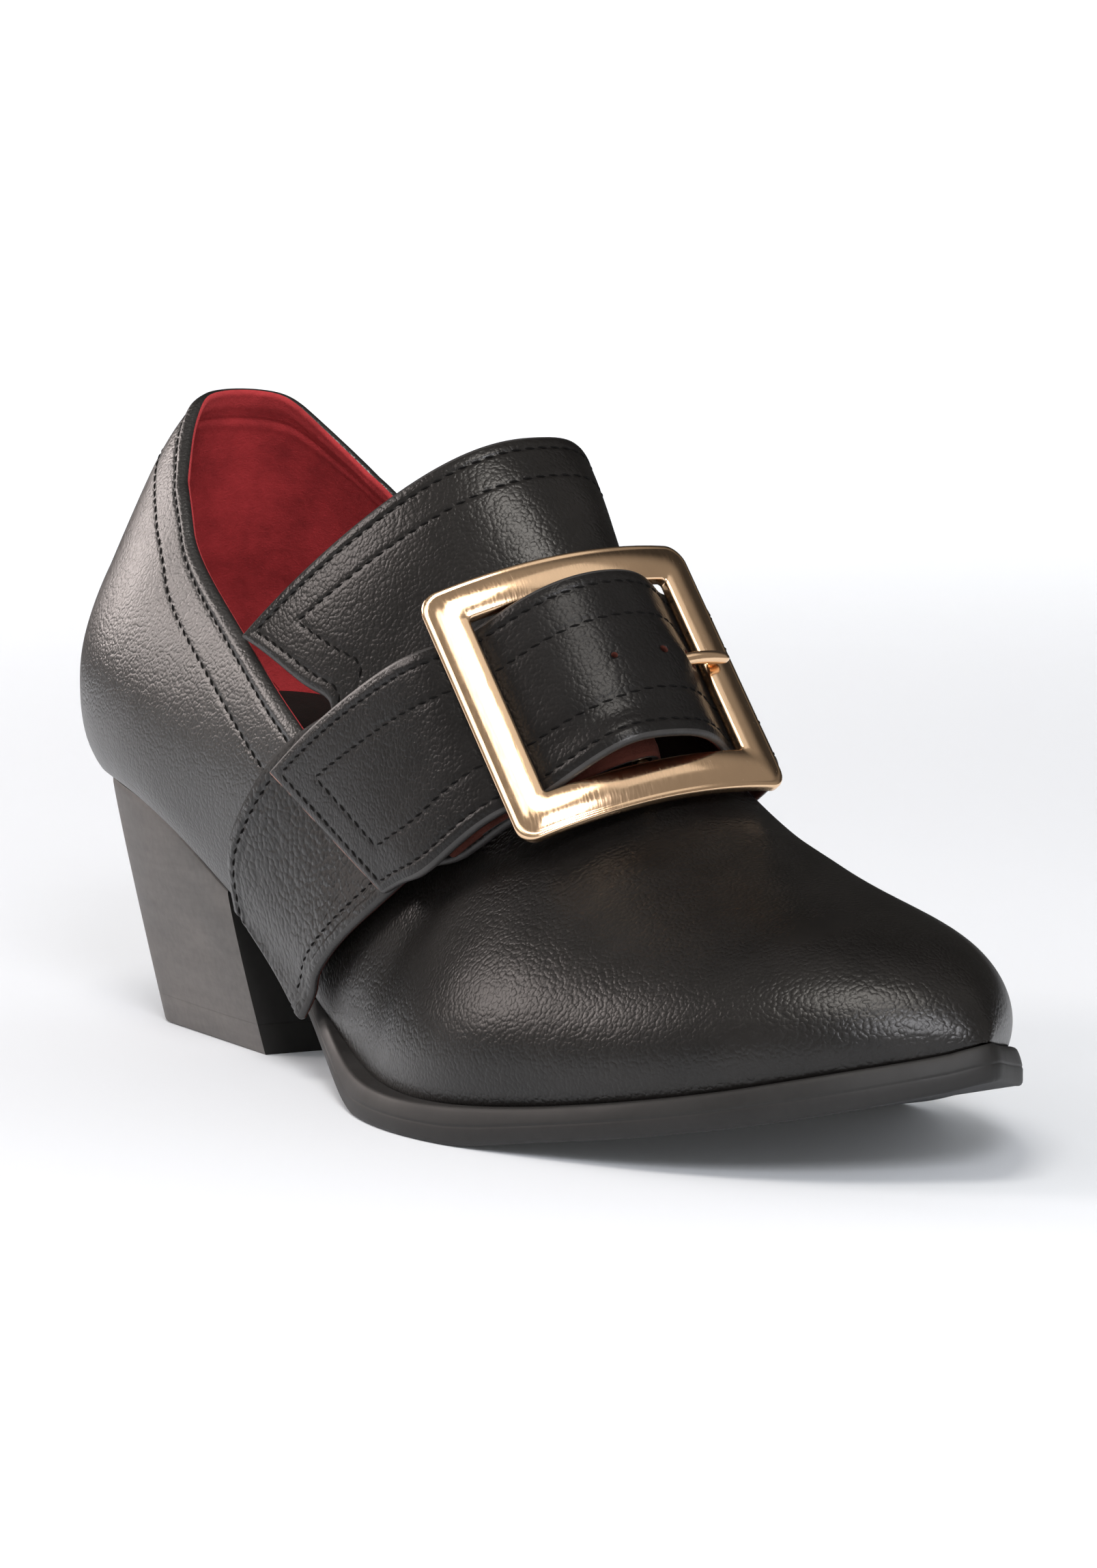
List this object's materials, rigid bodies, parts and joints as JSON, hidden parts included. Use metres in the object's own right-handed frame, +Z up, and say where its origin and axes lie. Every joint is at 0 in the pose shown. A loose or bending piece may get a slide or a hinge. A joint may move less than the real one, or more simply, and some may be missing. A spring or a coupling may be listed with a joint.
{
  "type": "latchet court shoe",
  "caption": "Right women's shoe with a flared square tongue, latchet straps fastened by a large square buckle, and a block heel.",
  "frame": {"origin": "middle of the shoe's bounding box, on the floor", "axes": "+X from heel to toe, +Y to the medial side, +Z up"},
  "size_m": [0.2514, 0.0884, 0.1111],
  "materials": {
    "upper_leather": "satin black with a fine grain",
    "strap_leather": "satin black with a fine grain",
    "sole_rubber": "matt black",
    "heel_stack": "dark grey with faint layer lines",
    "insole_sock": "matt black",
    "buckle_metal": "polished pale gold"
  },
  "bodies": {
    "root": {"upper": "upper_leather", "outsole": "sole_rubber", "heel": "heel_stack", "heel_lift": "sole_rubber", "insole": "insole_sock", "lateral_strap": "strap_leather", "medial_strap": "strap_leather", "buckle": "buckle_metal", "prong": "buckle_metal"}
  },
  "joints": []
}
